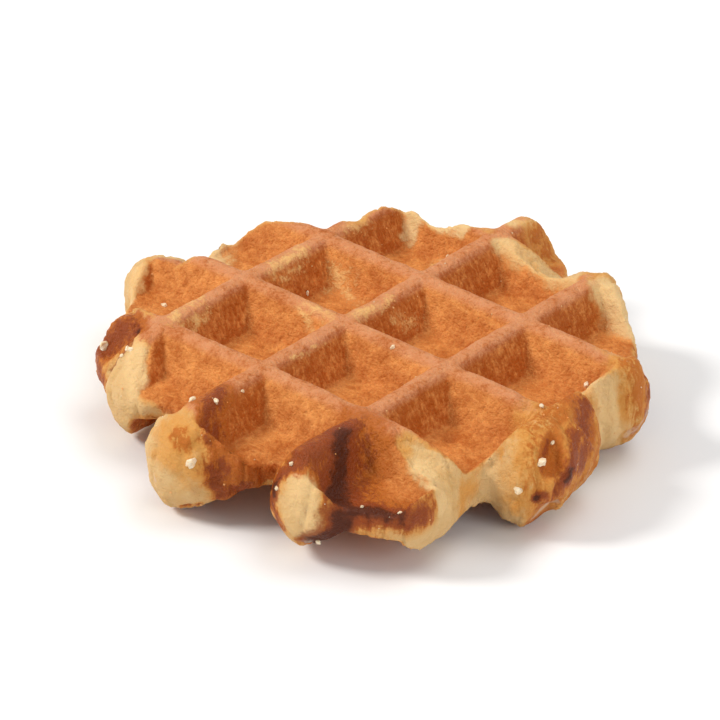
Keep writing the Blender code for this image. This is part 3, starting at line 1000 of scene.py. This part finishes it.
def coated(tree, below, pattern, coat, where=None):
    """A colour with a coat over it, all over or as far as where says."""
    share = cover(pattern, coat)
    if where is not None:
        share = share * where
    return mixed(tree, share, below, COATS[coat][-1])


def add_bump(tree, shader, relief, strength, depth):
    inputs = {"Strength": strength, "Distance": depth, "Height": relief}
    bump = new_node(tree, "ShaderNodeBump", inputs)
    connect(tree, bump.outputs["Normal"], shader.inputs["Normal"])


def patterns(tree):
    """The patterns in the crust's colours, and fine, which is grain and specks together."""
    place = object_place(tree)
    places = {"streaks": upright(tree, place, COLOUR_STREAKS)}
    look = SimpleNamespace()
    for name, pattern in PATTERNS.items():
        setattr(look, name, noise(tree, places.get(name, place), *pattern))
    look.fine = look.grain * 0.34 + look.specks * 0.22
    return look


def frayed(tree, look, name):
    """How deep inside a finish a place is, with its edge frayed by the crust's patterns."""
    by_fine, by_blotches = FRAYED[name]
    return reading(tree, name) + look.fine * by_fine + look.blotches * by_blotches


def crust_material():
    material, tree, shader = shader_of("crust")
    look = patterns(tree)
    pale = ramp(frayed(tree, look, "pale"), 0.05, 0.75)
    pressed = (reading(tree, "pressed") - pale).math("MAXIMUM", 0.0)
    pressed = pressed.math("MAXIMUM", ramp(frayed(tree, look, "crusted"), -0.15, 0.30))
    colour = mixed(tree, pressed, free_dough(tree, look, pale), pressed_crust(tree, look))
    colour, glazed = browned_over(tree, look, colour, pressed)
    colour = marked_over(tree, look, colour)
    looks = {
        "Base Color": colour,
        "Roughness": glazed * -0.24 + 0.62 - pressed * 0.05 + look.grain * 0.05,
        "Subsurface Weight": 0.12,
        "Subsurface Radius": (1.0, 0.45, 0.2),
        "Subsurface Scale": 1.2 * MM,
        "Specular IOR Level": 0.20,
    }
    fill_inputs(tree, shader, looks)
    relief = look.blotches * 0.6 + look.grain * 0.6
    relief = relief + (look.specks * 0.9 + look.streaks) * pressed * 0.35
    add_bump(tree, shader, relief, strength=0.7, depth=0.35 * MM)
    return material


def free_dough(tree, look, pale):
    """The colour where no iron touched: pale, and golden near the irons and along strokes."""
    near_iron = reading(tree, "near_iron") * pale.flipped()
    near_iron = near_iron + look.blotches * 0.30 + look.fine * 0.2
    golden = ramp(frayed(tree, look, "golden"), -0.20, 0.80)
    golden = golden.math("MAXIMUM", ramp(near_iron, 0.25, 1.10))
    warmth = look.clouds * 0.6 + look.blotches * 0.5 + look.fine * 0.5
    colour = coated(tree, PALE_DOUGH, warmth, "warm")
    colour = mixed(tree, golden * 0.85, colour, GOLDEN_DOUGH)
    return mixed(tree, pale * 0.50, colour, CREAM_DOUGH)


def pressed_crust(tree, look):
    """The colour where the irons browned: darkest on walls that face right, partly browner crust
    and partly painted shade, and dull on crests, a darker crust under a painted pinkish sheen.
    """
    crest = reading(tree, "crest")
    right = reading(tree, "faces_right")
    darkness = look.clouds * 0.36 + look.blotches * 0.65 + look.fine * 1.35
    darkness = darkness + look.streaks * (right * 0.80 + 0.20)
    # Walls facing right are darkened: partly a browner crust, partly painted shade on the side
    # turned from the key light
    browning_and_shade = darkness + right * 0.95
    browning_and_shade = browning_and_shade + reading(tree, "floor") * 0.25 + reading(tree, "rim") * 0.35
    scuffs = look.grain * 0.9 + look.blotches * 0.6 + look.specks * 0.3
    flecks = look.specks * 0.7 + look.grain * 0.9 + look.blotches * 0.3
    fleckiest = crest.halfway() * 0.8 + right * 0.35 + 0.2
    colour = coated(tree, LIGHT_CRUST, browning_and_shade, "brown")
    # Crests dulled and turned pinkish: partly darker crust, partly painted sheen
    colour = coated(tree, colour, darkness, "crest_and_sheen", where=crest)
    colour = coated(tree, colour, scuffs, "crest_scuffs", where=crest)
    colour = coated(tree, colour, scuffs, "crest_flecks", where=crest)
    colour = coated(tree, colour, frayed(tree, look, "faded"), "faded")
    return coated(tree, colour, flecks, "flecks", where=fleckiest)


def browned_over(tree, look, colour, pressed):
    """The colour with toasted, browned and burned strokes over it, and where they are glazed."""
    ripple = look.streaks * 0.34 + look.fine * 0.40 + look.blotches * 0.18
    toasted = reading(tree, "toasted")
    toasted = toasted + ripple * (ramp(toasted, -0.2, 0.4) * 1.8 + 0.3)
    colour = coated(tree, colour, toasted, "toasted_halo")
    colour = coated(tree, colour, toasted, "toasted")

    browned = reading(tree, "browned") - ramp(reading(tree, "pale"), 0.1, 0.6) * 1.2
    halo = mixed(tree, pressed, GOLDEN_DOUGH, BROWN_CRUST)
    colour = mixed(tree, ramp(browned + look.fine * 0.3, -0.45, 0.20) * 0.75, colour, halo)
    browned = browned + ripple
    colour = coated(tree, colour, browned, "browned_edge")
    colour = coated(tree, colour, browned, "browned")

    burned = frayed(tree, look, "burned")
    colour = coated(tree, colour, burned, "burned_edge")
    colour = coated(tree, colour, burned, "burned")
    return colour, ramp(browned, 0.0, 0.6).math("MAXIMUM", cover(burned, "burned"))


def marked_over(tree, look, colour):
    """The colour with painted shade in creases, and blisters, films of sugar and one painted
    highlight over it.
    """
    # Painted shade in the creases and the small hole
    colour = coated(tree, colour, frayed(tree, look, "creased"), "creased")
    colour = coated(tree, colour, reading(tree, "blistered"), "blistered")
    # Films of sugar, and a painted highlight along the near ridge's left edge
    return coated(tree, colour, frayed(tree, look, "sugared"), "sugared")


def sugar_material():
    material, tree, shader = shader_of("sugar")
    clouds = noise(tree, object_place(tree), width=0.7 * MM, seed=5.0)
    looks = {
        "Base Color": mixed(tree, ramp(clouds, -1.0, 1.0), CLEAR_SUGAR, BROWNED_SUGAR),
        "Roughness": 0.38,
        "Subsurface Weight": 0.35,
        "Subsurface Radius": (1.0, 0.8, 0.6),
        "Subsurface Scale": 0.6 * MM,
    }
    fill_inputs(tree, shader, looks)
    add_bump(tree, shader, clouds, strength=0.4, depth=0.1 * MM)
    return material


def crumb_material():
    material, tree, shader = shader_of("crumb")
    clouds = noise(tree, object_place(tree), width=1.5 * MM, seed=6.0)
    colour = mixed(tree, ramp(clouds, -0.8, 0.8), PALE_DOUGH, LIGHT_CRUST)
    fill_inputs(tree, shader, {"Base Color": colour, "Roughness": 0.65})
    add_bump(tree, shader, clouds, strength=0.4, depth=0.1 * MM)
    return material


def floor_material():
    material, tree, shader = shader_of("floor")
    fill_inputs(tree, shader, {"Base Color": FLOOR_COLOUR, "Roughness": 0.7})
    return material


def crystal_points():
    """One vertex for each listed crystal, with its width."""
    mesh = bpy.data.meshes.new("crystal_places")
    places = [
        ((u - MIDDLE[0]) * PITCH, (v - MIDDLE[1]) * PITCH, THICKNESS + height * PITCH)
        for u, v, height, width in CRYSTALS
    ]
    mesh.from_pydata(places, [], [])
    widths = mesh.attributes.new("width", "FLOAT", "POINT")
    widths.data.foreach_set("value", [crystal[3] for crystal in CRYSTALS])
    return mesh


def surface_of(tree, piece):
    """The geometry of a piece that is an input of a tree."""
    return new_node(tree, "GeometryNodeObjectInfo", {"Object": piece}).outputs["Geometry"]


def crystal_tree(values, sugar):
    """The listed crystals, drawn onto the dough and half sunk in it."""
    tree, given, made = growing_tree("sugar_crystals", values)
    near = new_node(tree, "GeometryNodeProximity", {0: surface_of(tree, given["Dough"])})
    inputs = {"Geometry": given["Geometry"], "Position": near.outputs["Position"]}
    onto = new_node(tree, "GeometryNodeSetPosition", inputs)
    width = named(tree, "width")
    placed = nuggets(tree, onto.outputs["Geometry"], width, given, subdivisions=2)
    finish_tree(tree, placed, sugar, made, smooth=False)
    return tree


def grain_tree(name, values, material, likely):
    """Small grains scattered over the dough, as thickly as likely(tree) says at each point."""
    tree, given, made = growing_tree(name, values)
    inputs = {
        "Mesh": surface_of(tree, given["Dough"]),
        "Density": likely(tree) * given["Thickest"],
        "Seed": given["Seed"],
    }
    spread = new_node(tree, "GeometryNodeDistributePointsOnFaces", inputs)
    width = random_number(tree, given["Smallest"], given["Largest"], given)
    scattered = nuggets(tree, spread.outputs["Points"], width, given, subdivisions=1)
    finish_tree(tree, scattered, material, made, smooth=False)
    return tree


def named(tree, name):
    """A named attribute of a geometry."""
    node = new_node(tree, "GeometryNodeInputNamedAttribute", {"Name": name})
    return Field(tree, node.outputs["Attribute"])


def random_number(tree, smallest, largest, given):
    """A number between two, drawn anew for each point."""
    node = new_node(tree, "FunctionNodeRandomValue", {"Seed": given["Seed"]})
    numbers = [place for place in node.inputs if place.type == "VALUE" and place.enabled]
    connect(tree, smallest, numbers[0])
    connect(tree, largest, numbers[1])
    return Field(tree, next(end for end in node.outputs if end.type == "VALUE" and end.enabled))


def random_vector(tree, lowest, highest, given):
    """A vector whose every side is between two numbers, drawn anew for each point."""
    inputs = {"Min": (lowest,) * 3, "Max": (highest,) * 3, "Seed": given["Seed"]}
    node = new_node(tree, "FunctionNodeRandomValue", inputs, data_type="FLOAT_VECTOR")
    return node.outputs[0]


def nuggets(tree, points, width, given, subdivisions):
    """A rough, uneven lump on each point, as wide as said there, turned at random."""
    inputs = {"Radius": 0.5, "Subdivisions": subdivisions}
    lump = new_node(tree, "GeometryNodeMeshIcoSphere", inputs)
    place = position(tree)
    swollen = noise(tree, place, LUMP_DENTS, seed=4.0, detail=1.0) * given["Unevenness"] + 1.0
    inputs = {
        "Geometry": lump.outputs["Mesh"],
        "Position": vector_math(tree, "SCALE", place, scale=swollen),
    }
    dented = new_node(tree, "GeometryNodeSetPosition", inputs)
    inputs = {
        "Points": points,
        "Instance": dented.outputs["Geometry"],
        "Rotation": random_vector(tree, 0.0, math.tau, given),
        "Scale": vector_math(tree, "SCALE", random_vector(tree, *LUMP_SIDES, given), scale=width),
    }
    return new_node(tree, "GeometryNodeInstanceOnPoints", inputs).outputs["Instances"]


def sugar_crystals(dough, sugar):
    values = {"Dough": dough, **CRYSTAL_VALUES}
    return grown("sugar_crystals", crystal_tree(values, sugar), values, crystal_points())


def sugar_grains(dough, sugar):
    """Fine grains that caught on the free edge and in the burned sugar."""

    def likely(tree):
        return ramp(named(tree, "burned"), -0.2, 0.4) + named(tree, "rim") * 0.25 + 0.03

    values = {"Dough": dough, **GRAIN_VALUES}
    return grown("sugar_grains", grain_tree("sugar_grains", values, sugar, likely), values)


def crumbs(dough, crumb):
    """Crumbs of dough that cling where it tore from the irons, most on the ridges' sides."""

    def likely(tree):
        return named(tree, "crest").halfway() + named(tree, "faces_right") * 0.6 + 0.10

    values = {"Dough": dough, **CRUMB_VALUES}
    return grown("crumbs", grain_tree("crumbs", values, crumb, likely), values)


def floor():
    mesh = bpy.data.meshes.new("floor")
    ends = ((-1, -1), (1, -1), (1, 1), (-1, 1))
    corners = [(x * FLOOR_REACH, y * FLOOR_REACH, 0) for x, y in ends]
    mesh.from_pydata(corners, [], [(0, 1, 2, 3)])
    mesh.materials.append(floor_material())
    plane = bpy.data.objects.new("floor", mesh)
    bpy.context.scene.collection.objects.link(plane)


def camera():
    lens = bpy.data.cameras.new("camera")
    lens.lens = CAMERA_LENS
    lens.clip_start, lens.clip_end = 0.01, 20.0
    camera_object = bpy.data.objects.new("camera", lens)
    place, aim = Vector(CAMERA_PLACE), Vector(CAMERA_AIM)
    towards = (aim - place).to_track_quat("-Z", "Y").to_matrix()
    turned = towards @ Matrix.Rotation(CAMERA_ROLL, 3, "Z")
    camera_object.matrix_world = Matrix.Translation(place) @ turned.to_4x4()
    bpy.context.scene.collection.objects.link(camera_object)
    bpy.context.scene.camera = camera_object


def lights():
    for name, (place, width, power, colour) in LIGHTS.items():
        light = bpy.data.lights.new(name, "AREA")
        light.shape = "DISK"
        light.size = width
        light.energy = power
        light.color = colour
        lamp = bpy.data.objects.new(name, light)
        lamp.location = place
        lamp.rotation_euler = (-Vector(place)).to_track_quat("-Z", "Y").to_euler()
        bpy.context.scene.collection.objects.link(lamp)
    world = bpy.data.worlds.new("studio")
    world.use_nodes = True
    background = world.node_tree.nodes["Background"]
    background.inputs["Color"].default_value = (1.0, 1.0, 1.0, 1.0)
    background.inputs["Strength"].default_value = WORLD_STRENGTH
    bpy.context.scene.world = world


def main():
    bpy.context.scene.view_settings.view_transform = "Standard"
    camera()
    lights()
    floor()
    sugar = sugar_material()
    dough = waffle_body(crust_material())
    clinging = [
        sugar_crystals(dough, sugar),
        sugar_grains(dough, sugar),
        crumbs(dough, crumb_material()),
    ]
    for piece in (dough, *clinging):
        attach(piece, "root")
    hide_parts("waffle")


main()
